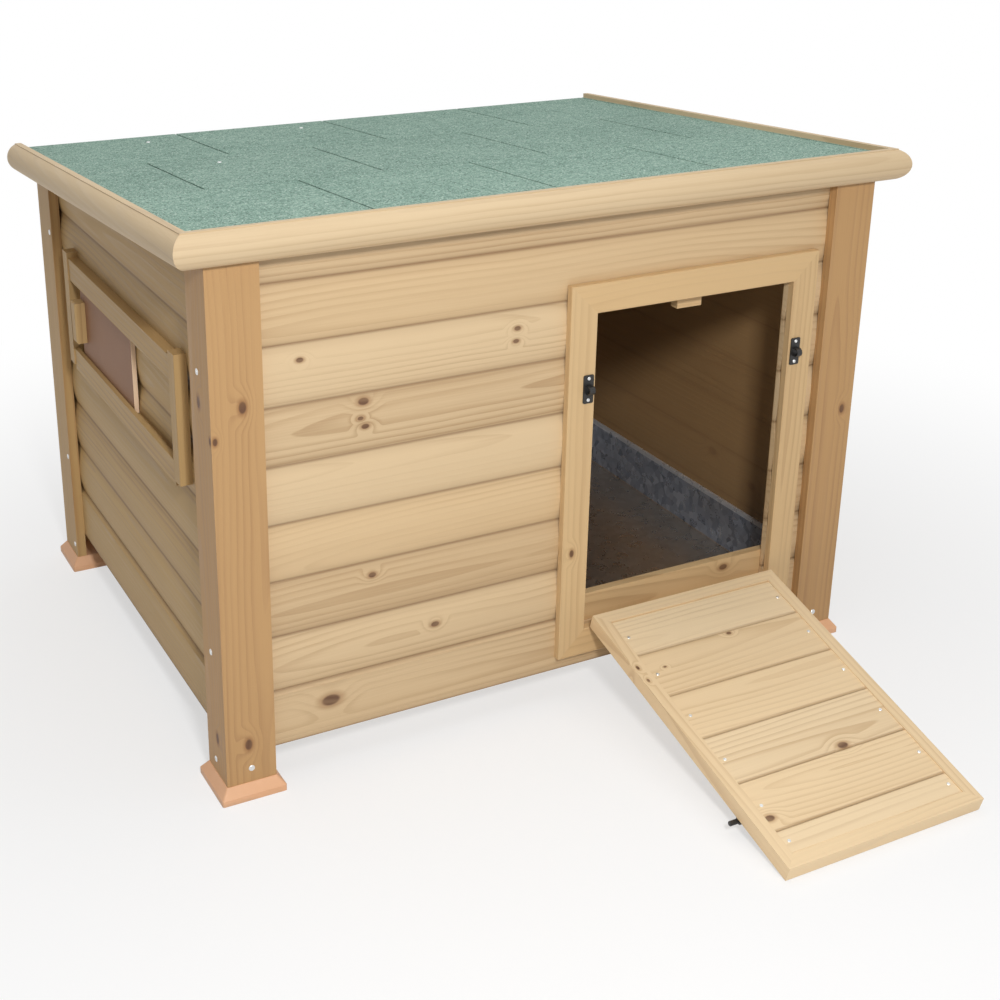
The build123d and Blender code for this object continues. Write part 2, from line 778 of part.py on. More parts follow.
pull_low = (drawer_bottom + drawer_top - pull_height) / 2
with BuildPart() as pull:
    with Locations((0, crest_back, pull_low)):
        Box(pull_width, pull_depth, pull_height, align=(Align.CENTER, Align.MIN, Align.MIN))
    fillet(pull.edges().group_by(Axis.Y)[-1], radius=5)
save(pull.part, "drawer_pull")

# Cross-headed screws, and the round nail heads that show on the felt
def screw(centre, outward, radius, rise, crossed=True):
    plane = Plane(origin=centre, z_dir=outward)
    with BuildPart() as head:
        with BuildSketch(plane):
            Circle(radius)
        extrude(amount=rise)
        chamfer(head.faces().sort_by(Axis(centre, outward))[-1].edges(), length=rise / 2)
        if crossed:
            with BuildSketch(plane.offset(rise)):
                Rectangle(radius * 1.1, radius * 0.3)
                Rectangle(radius * 0.3, radius * 1.1)
            extrude(amount=-rise * 0.6, mode=Mode.SUBTRACT)
    return head.part


post_screws = []
for sign in (-1, 1):
    for height in post_screw_heights:
        for y in (front + post_screw_inset, back - rear_screw_inset):
            post_screws.append(screw((sign * half, y, height), (sign, 0, 0), screw_radius, screw_rise))
    foot_x = sign * (half - post_face_width / 2)
    post_screws.append(screw((foot_x, front, post_screw_heights[0]), (0, -1, 0), screw_radius, screw_rise))
    rear_x = sign * (half - rear_face_width / 2)
    post_screws.append(screw((rear_x, back, post_screw_heights[0]), (0, 1, 0), screw_radius, screw_rise))
save_group(post_screws, "post_screws")

hardware_screws = []
for stile_edge, sign in ((door_left, -1), (door_right, 1)):
    for up in (-keeper_screw_spacing / 2, keeper_screw_spacing / 2):
        place = (stile_edge + sign * (keeper_offset + keeper_width / 2), frame_face - plate_thickness,
                 pivot_z + bolt_y + up)
        hardware_screws.append(screw(place, (0, -1, 0), small_screw_radius, small_screw_rise))
for along in (-leaf_screw_spacing / 2, leaf_screw_spacing / 2):
    for x in ramp_hinge_places:
        place = (x + along, frame_face - hinge_leaf_thickness, pivot_z - leaf_screw_reach)
        hardware_screws.append(screw(place, (0, -1, 0), small_screw_radius, small_screw_rise))
    for x in (-roof_hinge_spacing / 2, roof_hinge_spacing / 2):
        place = (x + along, back + hinge_leaf_thickness, roof_pivot_z - leaf_screw_reach)
        hardware_screws.append(screw(place, (0, 1, 0), small_screw_radius, small_screw_rise))
save_group(hardware_screws, "hardware_screws")

ramp_screws = []
for far, near in zip(plank_edges, plank_edges[1:]):
    for x in (ramp_left + ramp_batten + plank_screw_inset, ramp_right - ramp_batten - plank_screw_inset):
        place = ramp_plane.from_local_coords((x, (far + near) / 2, inner_face + plank_sink))
        ramp_screws.append(screw(place, -ramp_plane.z_dir, small_screw_radius, small_screw_rise))
for x in ramp_hinge_places:
    for along in (-leaf_screw_spacing / 2, leaf_screw_spacing / 2):
        place = ramp_plane.from_local_coords((x + along, leaf_screw_reach, outer_face + hinge_leaf_thickness))
        ramp_screws.append(screw(place, ramp_plane.z_dir, small_screw_radius, small_screw_rise))
base_inward = bolt_base_inset + bolt_base_length / 2
for middle in (ramp_left + base_inward, ramp_right - base_inward):
    for along in (-base_screw_length / 2, base_screw_length / 2):
        for across in (-base_screw_width / 2, base_screw_width / 2):
            place = ramp_plane.from_local_coords((middle + along, bolt_y + across, outer_face + plate_thickness))
            ramp_screws.append(screw(place, ramp_plane.z_dir, small_screw_radius, small_screw_rise))
save_group(ramp_screws, "ramp_screws")

felt_top = shingle_low + shingle_thickness
felt_nails = []
for index, x, above in felt_nails_at:
    place = roof_point(x + tab_shift, deck_back - index * course_depth - above, felt_top)
    felt_nails.append(screw(place, roof_plane.z_dir, nail_radius, screw_rise, False))
save_group(felt_nails, "felt_nails")

print("front face y", round(front, 3), "back", round(back, 3))
print("ramp pivot", round(pivot_y, 3), round(pivot_z, 3), "angle", round(degrees(ramp_angle), 3))
print("roof pivot", round(roof_pivot_y, 3), round(roof_pivot_z, 3))
print("bolt line", round(bolt_y, 3), "keeper z", round(pivot_z + bolt_y, 3))
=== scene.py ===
import json
import math
import bmesh
import bpy
from mathutils import Matrix, Vector


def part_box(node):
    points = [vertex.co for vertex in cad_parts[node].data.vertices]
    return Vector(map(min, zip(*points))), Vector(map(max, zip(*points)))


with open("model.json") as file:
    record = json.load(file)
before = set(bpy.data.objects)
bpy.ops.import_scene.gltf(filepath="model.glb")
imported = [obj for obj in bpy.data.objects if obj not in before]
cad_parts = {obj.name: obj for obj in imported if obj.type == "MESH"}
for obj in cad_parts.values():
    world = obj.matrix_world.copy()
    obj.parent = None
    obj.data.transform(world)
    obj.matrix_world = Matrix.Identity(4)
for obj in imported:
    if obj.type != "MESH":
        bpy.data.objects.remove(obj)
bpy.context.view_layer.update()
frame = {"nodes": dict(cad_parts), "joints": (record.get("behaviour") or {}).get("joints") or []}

nodes = frame["nodes"]

# Front wall. Loglap boards of planed pine, stacked tongue into groove and nailed to the posts,
# with a square-edged board at the foot. Each board was cut from a different length of timber,
# so its figure, knots and warmth differ from the next one's.


class Value:
    """A number that varies over a surface, so that shader maths can be written as arithmetic."""

    def __init__(self, sheet, socket):
        self.sheet = sheet
        self.socket = socket

    def _math(self, operation, *operands):
        settings = {"operation": operation}
        return self.sheet.node("ShaderNodeMath", settings, dict(enumerate(operands)))

    def __add__(self, other):
        return self._math("ADD", self, other)

    def __sub__(self, other):
        return self._math("SUBTRACT", self, other)

    def __rsub__(self, other):
        return self._math("SUBTRACT", other, self)

    def __mul__(self, other):
        return self._math("MULTIPLY", self, other)

    def __truediv__(self, other):
        return self._math("DIVIDE", self, other)

    __radd__ = __add__
    __rmul__ = __mul__

    def sine(self):
        return self._math("SINE", self)

    def floor(self):
        return self._math("FLOOR", self)

    def fraction(self):
        return self._math("FRACT", self)

    def size(self):
        return self._math("ABSOLUTE", self)

    def root(self):
        return self._math("SQRT", self)

    def least(self, other):
        return self._math("MINIMUM", self, other)

    def most(self, other):
        return self._math("MAXIMUM", self, other)

    def over(self, low, high):
        """0 below low, 1 above high, smooth between. A larger low turns it round."""
        rising = low < high
        settings = {"interpolation_type": "SMOOTHSTEP"}
        values = {"Value": self, "From Min": min(low, high), "From Max": max(low, high),
                  "To Min": 0.0 if rising else 1.0, "To Max": 1.0 if rising else 0.0}
        return self.sheet.node("ShaderNodeMapRange", settings, values)


class Finish:
    """One material, with its principled shader and Object coordinates split into x, y and z."""

    def __init__(self, name, roughness=0.5, metallic=0.0):
        self.material = bpy.data.materials.new(name)
        self.material.use_nodes = True
        self.tree = self.material.node_tree
        self.shader = self.tree.nodes["Principled BSDF"]
        self.shader.inputs["Roughness"].default_value = roughness
        self.shader.inputs["Metallic"].default_value = metallic
        self.place = self.node("ShaderNodeTexCoord", {}, {}, "Object")
        self.x = self.node("ShaderNodeSeparateXYZ", {}, {0: self.place}, "X")
        self.y = self.node("ShaderNodeSeparateXYZ", {}, {0: self.place}, "Y")
        self.z = self.node("ShaderNodeSeparateXYZ", {}, {0: self.place}, "Z")

    def node(self, kind, settings, values, output=0):
        made = self.tree.nodes.new(kind)
        for key, setting in settings.items():
            if key == "stops":
                ramp = made.color_ramp
                while len(ramp.elements) < len(setting):
                    ramp.elements.new(0.5)
                for element, (position, colour) in zip(ramp.elements, setting):
                    element.position = position
                    element.color = (*colour, 1.0)
            else:
                setattr(made, key, setting)
        for key, value in values.items():
            if isinstance(value, Value):
                self.tree.links.new(value.socket, made.inputs[key])
            else:
                made.inputs[key].default_value = value
        return Value(self, made.outputs[output])

    def noise(self, place, scale, detail=3.0, roughness=0.5, distortion=0.0):
        values = {"Vector": place, "Scale": scale, "Detail": detail, "Roughness": roughness,
                  "Distortion": distortion}
        return self.node("ShaderNodeTexNoise", {}, values)

    def point(self, x, y, z):
        return self.node("ShaderNodeCombineXYZ", {}, {0: x, 1: y, 2: z})

    def blend(self, factor, first, second):
        """A colour between two, each written as three numbers or linked."""
        made = self.tree.nodes.new("ShaderNodeMix")
        made.data_type = "RGBA"
        factor_socket, first_socket, second_socket = (made.inputs[number] for number in (0, 6, 7))
        pairs = ((factor_socket, factor), (first_socket, first), (second_socket, second))
        for socket, value in pairs:
            if isinstance(value, Value):
                self.tree.links.new(value.socket, socket)
            elif isinstance(value, tuple):
                socket.default_value = (*value, 1.0)
            else:
                socket.default_value = value
        return Value(self, made.outputs[2])

    def wear(self, colour, roughness, height, depth, strength, metallic=None):
        """Connects what varies: colour, roughness, a height in units of depth metres, and metal."""
        for name, value in (("Base Color", colour), ("Roughness", roughness), ("Metallic", metallic)):
            if value is not None:
                self.tree.links.new(value.socket, self.shader.inputs[name])
        values = {"Height": height, "Distance": depth, "Strength": strength}
        bump = self.node("ShaderNodeBump", {}, values, "Normal")
        self.tree.links.new(bump.socket, self.shader.inputs["Normal"])


def along(finish, grain):
    """Distance along the grain, across the face and into the board. grain is x, y or z."""
    x, y, z = finish.x, finish.y, finish.z
    return {"x": (x, z, y), "y": (y, z, x), "z": (z, x + y, x - y)}[grain]


def times(colour, factors):
    return tuple(part * factor for part, factor in zip(colour, factors))


def scatter(step, seed, step_rate, seed_rate, offset, gain):
    """A number from 0 to 1 that differs from board to board, and is the same on each run."""
    return ((step * step_rate + seed * seed_rate + offset).sine() * gain).fraction()


def strongest(first, second):
    return second if first is None else first.most(second)


def pine(name, grain, light, dark, board=None, base=0.0, knots=(), wild_knots=0.5, seed=0.0,
         contrast=1.0, faces=None, face=0.0, inside=None, tones=()):
    """Flat-sawn pine. board is the width that repeats across the grain, from base upwards.
    knots are (along, across, radius) in metres on the face that shows, which is at depth face.
    wild_knots is the share of chance places that have a knot. Faces deeper than inside are the
    cabin's and are blended towards brown as painted shade. tones darken single boards, counted from
    base."""
    finish = Finish(name, roughness=0.55)
    run, across, into = faces(finish) if faces else along(finish, grain)
    into = into - face
    if board:
        step = ((across - base) / board).floor()
        centre = across - base - (step + 0.5) * board
    else:
        step = finish.noise(finish.point(0.0, 0.0, 0.0), 1.0) * 0.0
        centre = across - base
    chance = scatter(step, seed, 12.9898, 3.71, 1.3, 43758.5453)
    other = scatter(step, seed, 78.233, 1.93, 4.1, 24634.6345)
    lengths_apart = 3.0
    run = run + chance * lengths_apart

    # The heart of the tree wanders beside the board, which gives long arches and straight lines.
    wander = finish.noise(finish.point(run * 0.9, step * 3.7 + seed, 0.0), 1.0, 2.0)
    ripple = finish.noise(finish.point(run * 3.0, centre * 22.0, step * 2.1 + seed), 1.0, 3.0)
    side = centre + (chance - 0.5) * 0.06 + (wander - 0.5) * 0.05
    deep = (wander - 0.35) * 0.09 + into * 0.35

    # Knots push the rings aside. The named ones lie where they lie on the real piece, and each is
    # longer along the grain than across it.
    squash = 0.62
    bulge = core = halo = None
    for at, up, size in knots:
        dx = (run - chance * lengths_apart - at) * squash
        dz = across - up
        away = (dx * dx + dz * dz).root()
        bulge = strongest(bulge, away.over(size * 4.5, 0.0))
        core = strongest(core, away.over(size * 1.12, size * 0.72))
        halo = strongest(halo, away.over(size * 2.0, size * 0.9))
    place = finish.point(run * 2.6, centre * 9.0, step * 5.3 + seed)
    cells = {"Vector": place, "Scale": 1.0, "Randomness": 1.0}
    spot = finish.node("ShaderNodeTexVoronoi", {}, cells, "Distance")
    tint = finish.node("ShaderNodeTexVoronoi", {}, cells, "Color")
    lot = finish.node("ShaderNodeSeparateColor", {}, {0: tint}, "Red")
    drawn = lot.over(1.0 - wild_knots, 1.0)
    bulge = strongest(bulge, spot.over(0.42, 0.0) * drawn)
    core = strongest(core, spot.over(0.085, 0.055) * drawn)
    halo = strongest(halo, spot.over(0.17, 0.06) * drawn)

    # Growth rings, dark where the late wood ends, with finer streaks and fibres over them.
    knot_push, ripple_depth = 0.016, 0.009
    ring_gap = other * 0.0030 + 0.0064
    radius = (side * side + deep * deep).root() + bulge * knot_push + (ripple - 0.5) * ripple_depth
    rings = (radius / ring_gap + other * 9.0).fraction()
    late = rings.over(0.35, 0.95) * rings.over(1.0, 0.94)
    fibre = finish.noise(finish.point(run * 9.0, across * 620.0, into * 620.0), 1.0, 2.0)
    streak = finish.noise(finish.point(run * 1.3, across * 75.0, step + seed), 1.0, 2.0)
    cloud = finish.noise(finish.point(run * 1.1, centre * 8.0, step * 1.7 + seed), 1.0, 2.0)
    patch = finish.noise(finish.point(run * 1.7, centre * 16.0, step * 2.9 + seed), 1.0, 2.0)
    faint = patch.over(0.32, 0.68)
    amount = (late * (faint * 0.34 + 0.10) + streak * 0.34 + (cloud - 0.5) * 0.75
              + (fibre - 0.5) * 0.25 + (other - 0.5) * 0.30) * contrast
    for number, tone in enumerate(tones):
        if tone:
            amount = amount + (step - number).size().over(0.6, 0.4) * tone

    # Colour, from clear wood through warmer boards to knots, then dirt and painted shade in the
    # joints, and painted shade on the cabin's inner faces.
    warm = times(light, (0.98, 0.90, 0.78))
    resin = times(dark, (0.72, 0.55, 0.42))
    dirt = times(dark, (0.50, 0.42, 0.35))
    knot_brown = (0.105, 0.043, 0.018)
    cabin_painted_shade = (0.360, 0.205, 0.090)
    wood = finish.blend(amount.over(0.0, 1.0), light, dark)
    wood = finish.blend((chance - 0.35).over(0.0, 1.0) * 0.55, wood, warm)
    wood = finish.blend(halo * 0.55, wood, resin)
    eye_rings = (spot * 90.0).sine() * 0.12 + 0.88
    wood = finish.blend(core * 0.93 * eye_rings, wood, knot_brown)
    if board:
        edge = (((across - base) / board).fraction() - 0.5).size()
        # Darker towards each joint: dirt in the groove together with painted shade.
        joint_dirt_and_shade = edge.over(0.455, 0.5) * 0.50
        if inside:
            # On the walls a broader band of painted shade darkens each rounded board towards its
            # joints.
            joint_dirt_and_shade = joint_dirt_and_shade + edge.over(0.30, 0.52) * 0.20
        wood = finish.blend(joint_dirt_and_shade, wood, dirt)
    # Painted shade: faces inside the cabin are blended towards brown.
    if inside:
        wood = finish.blend(into.size().over(inside, inside + 0.001) * 0.78, wood, cabin_painted_shade)
    rough = 0.62 - late * 0.12 + (fibre - 0.5) * 0.2
    finish.wear(wood, rough, late * 0.5 + fibre * 0.6 - core * 0.6, 0.00035, 0.6)
    return finish


def dress(finish, *names):
    """Gives carried-over nodes one finish in every material slot."""
    for name in names:
        slots = nodes[name].material_slots
        for slot in slots:
            slot.material = finish.material
        if not slots:
            nodes[name].data.materials.append(finish.material)


PALE = (0.672, 0.502, 0.300)
DEEP = (0.430, 0.278, 0.140)
front_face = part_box("post_front_left")[0].y
front_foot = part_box("front_cladding")[0].z
side_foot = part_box("left_cladding")[0].z
cover = 0.0745
front_knots = ((-0.355, 0.553, 0.0030), (-0.068, 0.549, 0.0030), (-0.070, 0.533, 0.0028),
               (-0.275, 0.488, 0.0046), (-0.280, 0.468, 0.0026), (-0.274, 0.457, 0.0034),
               (-0.266, 0.257, 0.0034), (-0.179, 0.167, 0.0038), (-0.325, 0.096, 0.0080))
front_depth, side_depth = 0.0225, 0.0085
front_tones = (0.22, 0.08, 0.24, -0.06, -0.28, 0.10, 0.08, 0.02, 0.14)
dress(pine("pine_front", "x", PALE, DEEP, cover, front_foot, front_knots, 0.06, 2.0, face=front_face,
           inside=front_depth, tones=front_tones), "front_cladding")


# Side and rear walls. The same loglap, one short lift above the front's foot, coloured darker than
# the front's partly as painted shade. The rear wall is cut away at its foot for the tray's wooden
# front.
side_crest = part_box("left_cladding")[0].x
# Darker than the front's wood: partly the boards' own tone, partly painted shade.
side_tone_with_shade = (0.500, 0.330, 0.140)
side_deep_with_shade = (0.325, 0.188, 0.072)
dress(pine("pine_left", "y", side_tone_with_shade, side_deep_with_shade, cover, side_foot, (), 0.14, 5.0, face=side_crest,
           inside=side_depth), "left_cladding")
right_knots = ((0.105, 0.190, 0.0060), (0.005, 0.170, 0.0055))
dress(pine("pine_right", "y", side_tone_with_shade, side_deep_with_shade, cover, side_foot, right_knots, 0.14, 8.0,
           face=-side_crest, inside=side_depth), "right_cladding")
rear_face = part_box("back_cladding")[1].y
dress(pine("pine_rear", "x", side_tone_with_shade, side_deep_with_shade, cover, side_foot, (), 0.14, 11.0, face=rear_face,
           inside=side_depth), "back_cladding")


# Corner posts. Two planed boards lapped into an L, redder than the cladding and sawn from the
# heart, so the rings run nearly straight up them with a few dark knots.
POST = (0.500, 0.295, 0.125)
POST_DEEP = (0.320, 0.160, 0.062)
post_middle, rear_post_middle = 0.43, 0.45
left_post_knots = ((0.513, -0.4315 + front_face, 0.0048), (0.073, -0.4405 + front_face, 0.0048),
                   (0.477, -0.4655 + front_face, 0.0030))
right_post_knots = ((0.358, 0.453 + front_face, 0.0042),)
dress(pine("pine_post_left", "z", POST, POST_DEEP, None, -post_middle + front_face, left_post_knots,
           0.06, 3.0, 0.9, face=-post_middle - front_face), "post_front_left")
dress(pine("pine_post_right", "z", POST, POST_DEEP, None, post_middle + front_face, right_post_knots,
           0.06, 4.0, 0.9, face=post_middle - front_face), "post_front_right")
for name, side in (("post_back_left", -rear_post_middle), ("post_back_right", rear_post_middle)):
    dress(pine("pine_" + name, "z", side_tone_with_shade, POST_DEEP, None, side + rear_face, (), 0.1,
               6.0 + side, 0.9, face=side - rear_face), name)


# Foot caps. Square moulded blocks with a bevelled shoulder that hold the posts off the wet ground,
# smooth and salmon coloured, slightly dirty towards the floor.
def moulded():
    finish = Finish("foot_cap", 0.48)
    cloud = finish.noise(finish.place, 30.0, 3.0)
    grit = finish.noise(finish.place, 900.0, 2.0)
    dirt = finish.z.over(0.006, 0.0) * cloud.over(0.35, 0.6)
    salmon, pale_salmon, mud = (0.700, 0.370, 0.190), (0.780, 0.460, 0.270), (0.40, 0.26, 0.16)
    colour = finish.blend(cloud, salmon, pale_salmon)
    colour = finish.blend(dirt * 0.4, colour, mud)
    finish.wear(colour, cloud * 0.18 + 0.40, grit, 0.0002, 0.3)
    return finish


dress(moulded(), "foot_cap_front_left", "foot_cap_front_right", "foot_cap_back_left",
      "foot_cap_back_right")


# Door frame. Four mitred boards over the cladding, with the board behind them that closes the gap
# above the tray and the small block that stops the ramp when it is shut.
FRAME = (0.640, 0.445, 0.230)
FRAME_DEEP = (0.440, 0.270, 0.125)
stile_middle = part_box("frame_left_stile")[0].x + 0.017
stile_knots = ((0.228, stile_middle + front_face, 0.0035),)
for name, knots, seed in (("frame_left_stile", stile_knots, 21.0),
                          ("frame_right_stile", (), 22.5)):
    low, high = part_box(name)
    middle = (low.x + high.x) / 2 + front_face
    dress(pine("pine_" + name, "z", FRAME, FRAME_DEEP, None, middle, knots, 0.0, seed, 0.8,
               face=middle - 2 * front_face), name)
for name, seed in (("frame_top_rail", 24.0), ("frame_bottom_rail", 25.0)):
    low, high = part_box(name)
    dress(pine("pine_" + name, "x", FRAME, FRAME_DEEP, None, (low.z + high.z) / 2, (), 0.0, seed,
               0.8, face=front_face), name)
sill_knots = ((0.285, 0.137, 0.0045),)
dress(pine("pine_sill", "x", FRAME, FRAME_DEEP, None, 0.13, sill_knots, 0.0, 27.0, face=front_face),
      "door_sill_board", "door_stop_block")


# Rails, runners and battens. Sawn pine of the same batch, out of sight or in the shade.
dress(pine("pine_rails", "y", side_tone_with_shade, side_deep_with_shade, None, 0.45, (), 0.0, 31.0, face=side_crest),
      "vent_rail_bottom", "vent_rail_top", "tray_runners")
dress(pine("pine_upright", "z", side_tone_with_shade, side_deep_with_shade, None, side_crest, (), 0.0, 33.0,
           face=side_crest), "vent_stops", "corner_battens", "shutter_handle")
dress(pine("pine_crosswise", "x", side_tone_with_shade, side_deep_with_shade, None, 0.6, (), 0.1, 35.0),
      "back_top_rail", "floor_rails", "roof_battens", "drawer_pull")
dress(pine("pine_drawer", "x", side_tone_with_shade, side_deep_with_shade, None, 0.11, (), 0.25, 36.0, face=rear_face),
      "drawer_front")


# Roof lid. A sheathing board edged with half-round trim, mitred at the front corners.
trim_low, trim_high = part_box("roof_trim_front")
TRIM = (0.650, 0.495, 0.305)
TRIM_DEEP = (0.450, 0.305, 0.160)
trim_middle, side_trim_middle = (trim_low.z + trim_high.z) / 2, 0.69
dress(pine("pine_trim_front", "x", TRIM, TRIM_DEEP, None, trim_middle, (), 0.0, 41.0,
           face=trim_low.y), "roof_trim_front")
dress(pine("pine_trim_sides", "y", TRIM, TRIM_DEEP, None, side_trim_middle, (), 0.0, 43.0,
           face=trim_low.x), "roof_trim_left", "roof_trim_right")


def sheathing():
    """Thin plywood: broad rotary figure and a fine open grain."""
    finish = Finish("sheathing", 0.7)
    pale_ply, dark_ply = (0.56, 0.38, 0.20), (0.42, 0.26, 0.13)
    swirl = finish.noise(finish.point(finish.x * 2.0, finish.y * 14.0, 0.0), 1.0, 3.0, 0.5, 0.6)
    bands = (swirl * 22.0).sine() * 0.5 + 0.5
    pores = finish.point(finish.x * 25.0, finish.y * 700.0, finish.z * 700.0)
    fibre = finish.noise(pores, 1.0, 2.0)
    colour = finish.blend(bands * 0.6 + fibre * 0.3, pale_ply, dark_ply)
    finish.wear(colour, fibre * 0.2 + 0.6, fibre, 0.0003, 0.5)
    return finish


dress(sheathing(), "roof_deck")


# Roofing felt. Bitumen sheet faced with green mineral grit, in three courses slit into tabs. The
# grit is a mix of pale and dark grains. The underlay, which shows through the slits, is coloured
# darker.
def gritted(name, tone):
    finish = Finish(name, 0.92)
    cells = {"Vector": finish.place, "Scale": 620.0}
    grain = finish.node("ShaderNodeTexVoronoi", {}, cells, "Color")
    pick = finish.node("ShaderNodeSeparateColor", {}, {0: grain}, "Red")
    lump = finish.noise(finish.place, 260.0, 3.0, 0.7)
    patch = finish.noise(finish.place, 7.0, 3.0, 0.6)
    shade = finish.noise(finish.place, 60.0, 2.0, 0.6)
    light = tuple(c * tone for c in (0.395, 0.560, 0.465))
    dark = tuple(c * tone for c in (0.120, 0.225, 0.178))
    white_grain, black_grain = (0.70, 0.80, 0.74), (0.035, 0.060, 0.050)
    mix = pick * 0.55 + lump * 0.45 + (shade - 0.5) * 0.35 + (patch - 0.5) * 0.25
    colour = finish.blend(mix.over(0.12, 0.88), dark, light)
    colour = finish.blend(pick.over(0.93, 0.97) * 0.6, colour, white_grain)
    colour = finish.blend(pick.over(0.07, 0.03) * 0.7, colour, black_grain)
    finish.wear(colour, pick * 0.12 + 0.84, pick * 0.6 + lump * 0.6, 0.0008, 0.8)
    return finish


dress(gritted("felt_grit_front", 1.0), "shingle_course_front")
dress(gritted("felt_grit_middle", 0.95), "shingle_course_middle")
dress(gritted("felt_grit_rear", 0.98), "shingle_course_rear")
dress(gritted("felt_grit_under", 0.55), "felt_underlay")


# Ramp. Six short boards across, let into a mitred border of battens, paler than the walls because
# it has weathered less. Its figure follows the boards, which slope down to the ground.
hinge = next(j for j in frame["joints"] if j["name"] == "ramp_hinge")
swing = math.radians(hinge["range_deg"][1] - 90.0)
hinge_at = Vector(hinge["pos_m"])


def down_ramp(finish):
    """Distance down the ramp from its hinge, and depth under its upper face."""
    reach = (finish.y - hinge_at.y) * -math.cos(swing) - (finish.z - hinge_at.z) * math.sin(swing)
    depth = (finish.y - hinge_at.y) * math.sin(swing) - (finish.z - hinge_at.z) * math.cos(swing)
    return reach, depth


def ramp_boards(finish):
    reach, depth = down_ramp(finish)
    return finish.x, reach, depth


def ramp_edges(finish):
    reach, depth = down_ramp(finish)
    return reach, finish.x, depth


RAMP = (0.830, 0.650, 0.415)
RAMP_DEEP = (0.590, 0.410, 0.225)
plank, first_plank, ramp_face = 0.076, 0.009, -0.023
ramp_knots = ((0.209, 0.090, 0.0025), (0.089, 0.115, 0.0015), (0.231, 0.308, 0.0050),
              (0.070, 0.371, 0.0045))
dress(pine("pine_ramp", "x", RAMP, RAMP_DEEP, plank, first_plank, ramp_knots, 0.0, 51.0,
           faces=ramp_boards, face=ramp_face), "ramp_planks")
edge_knots = ((0.106, 0.052, 0.0022), (0.130, 0.053, 0.0018))
dress(pine("pine_ramp_edges", "y", RAMP, RAMP_DEEP, None, 0.05, edge_knots, 0.0, 53.0,
           faces=ramp_edges, face=ramp_face), "ramp_left_batten", "ramp_right_batten")
dress(pine("pine_ramp_ends", "x", RAMP, RAMP_DEEP, None, 0.43, (), 0.0, 55.0, faces=ramp_boards,
           face=ramp_face), "ramp_tip_batten", "ramp_hinge_batten")


# Hinges, bolts and keepers. Pressed steel with a thin black coat, rubbed through in small patches.
def black_coat():
    finish = Finish("black_coat", 0.42)
    skin = finish.noise(finish.place, 700.0, 2.0)
    rubbed = finish.noise(finish.place, 90.0, 3.0).over(0.66, 0.74)
    coat, worn = (0.016, 0.015, 0.014), (0.09, 0.085, 0.08)
    colour = finish.blend(rubbed * 0.5, coat, worn)
    finish.wear(colour, skin * 0.2 + 0.34, skin, 0.00015, 0.4)
    return finish


dress(black_coat(), "ramp_hinge_frame_leaves", "ramp_hinge_pins", "ramp_hinge_door_leaves",
      "roof_hinge_wall_leaves", "roof_hinge_pins", "roof_hinge_lid_leaves", "bolt_keeper_left",
      "bolt_keeper_right", "bolt_base_left", "bolt_base_right", "bolt_rod_left", "bolt_rod_right")


# Screws and nails. Zinc-plated, bright with a faint milky bloom.
def zinc_plate():
    finish = Finish("zinc_plate", 0.3, 1.0)
    bloom = finish.noise(finish.place, 500.0, 3.0)
    dull, bright = (0.62, 0.63, 0.64), (0.86, 0.86, 0.84)
    colour = finish.blend(bloom, dull, bright)
    finish.wear(colour, bloom * 0.25 + 0.2, bloom, 0.0001, 0.3)
    return finish


dress(zinc_plate(), "post_screws", "hardware_screws", "ramp_screws", "felt_nails")


# Vent shutter. A thin oil-tempered board, reddish brown and faintly fibrous, with a paler sawn
# edge.
def brown_board():
    finish = Finish("brown_board", 0.62)
    fibre = finish.noise(finish.place, 420.0, 3.0, 0.7)
    cloud = finish.noise(finish.place, 14.0, 3.0)
    brown, light_brown = (0.205, 0.090, 0.040), (0.315, 0.155, 0.072)
    sawn_edge = (0.780, 0.580, 0.400)
    near_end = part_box("shutter_panel")[0].y
    sawn = finish.y.over(near_end + 0.0006, near_end + 0.0002)
    colour = finish.blend(cloud * 0.6 + fibre * 0.4, brown, light_brown)
    colour = finish.blend(sawn, colour, sawn_edge)
    finish.wear(colour, fibre * 0.2 + 0.5, fibre, 0.0002, 0.4)
    return finish


dress(brown_board(), "shutter_panel")


# Tray. One sheet of galvanised steel, folded up on four sides with its rim rolled over a wire. The
# zinc froze into spangles, each a flat crystal with its own shine.
tray_floor, tray_top = (corner.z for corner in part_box("steel_tray"))


def spangled():
    finish = Finish("spangled_zinc", 0.35, 0.55)
    place = {"Vector": finish.place, "Scale": 95.0, "Randomness": 1.0}
    crystal = finish.node("ShaderNodeTexVoronoi", {}, place, "Color")
    pick = finish.node("ShaderNodeSeparateColor", {}, {0: crystal}, "Red")
    other = finish.node("ShaderNodeSeparateColor", {}, {0: crystal}, "Green")
    frost = finish.noise(finish.place, 320.0, 3.0)
    stain = finish.noise(finish.place, 5.0, 4.0, 0.6)
    bottom = finish.z.over(tray_floor + 0.003, tray_floor + 0.0015)
    dull_zinc, bright_zinc, rim_painted_highlight = (0.25, 0.29, 0.37), (0.52, 0.57, 0.66), (0.90, 0.92, 0.95)
    stained, floor_painted_reflection = (0.30, 0.25, 0.20), (0.740, 0.620, 0.480)
    colour = finish.blend(pick, dull_zinc, bright_zinc)
    colour = finish.blend(stain.over(0.52, 0.75) * 0.35, colour, stained)
    # Painted reflection: the tray's floor is tinted brown as if mirroring the wooden cabin.
    colour = finish.blend(bottom * 0.75, colour, floor_painted_reflection)
    # Painted highlight: a near-white band along the top of the rolled rim.
    rim = finish.z.over(tray_top - 0.0072, tray_top - 0.0068)
    colour = finish.blend(rim * 0.8, colour, rim_painted_highlight)
    rough = other * 0.16 + frost * 0.10 + 0.20
    finish.wear(colour, rough, pick * 0.5 + frost * 0.2, 0.0004, 0.25, bottom * 0.30 + 0.60)
    return finish


dress(spangled(), "steel_tray")


